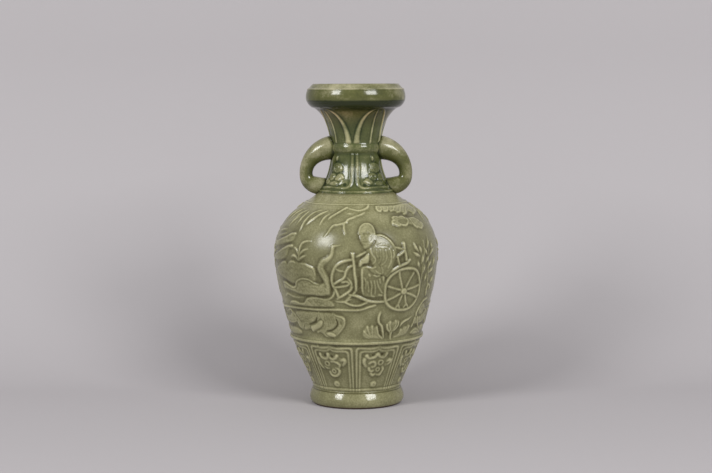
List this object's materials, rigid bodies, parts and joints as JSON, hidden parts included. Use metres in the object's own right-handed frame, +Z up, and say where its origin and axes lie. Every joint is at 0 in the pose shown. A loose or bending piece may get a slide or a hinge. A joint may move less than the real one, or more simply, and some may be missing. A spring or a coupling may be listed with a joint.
{
  "type": "celadon vase",
  "caption": "Baluster vase in green celadon glaze, with a dish mouth, a trumpet neck, two loop handles, moulded relief and a low foot ring.",
  "frame": {"origin": "centre of the foot ring's flat underside, where the vase stands", "axes": "+Z up along the vase's axis; -Y is the front, the side that shows the seated figure in a cart; the handles stand out along +X and -X"},
  "size_m": [0.1654, 0.1654, 0.32],
  "materials": {
    "celadon_glaze": "glossy olive celadon glaze, pale where it thins over the relief and darker where it pools",
    "deep_celadon_glaze": "glossy thick green celadon glaze, pale on the raised lines",
    "rim_celadon_glaze": "glossy green celadon glaze, thin and pale at the lip and on the outer bends"
  },
  "bodies": {
    "root": {"foot_ring": "celadon_glaze", "base_disc": "celadon_glaze", "panel_band": "celadon_glaze", "belly": "celadon_glaze", "shoulder": "celadon_glaze", "neck_panels": "deep_celadon_glaze", "neck_trumpet": "deep_celadon_glaze", "dish_mouth": "rim_celadon_glaze", "handle_left": "rim_celadon_glaze", "handle_right": "rim_celadon_glaze"}
  },
  "joints": []
}
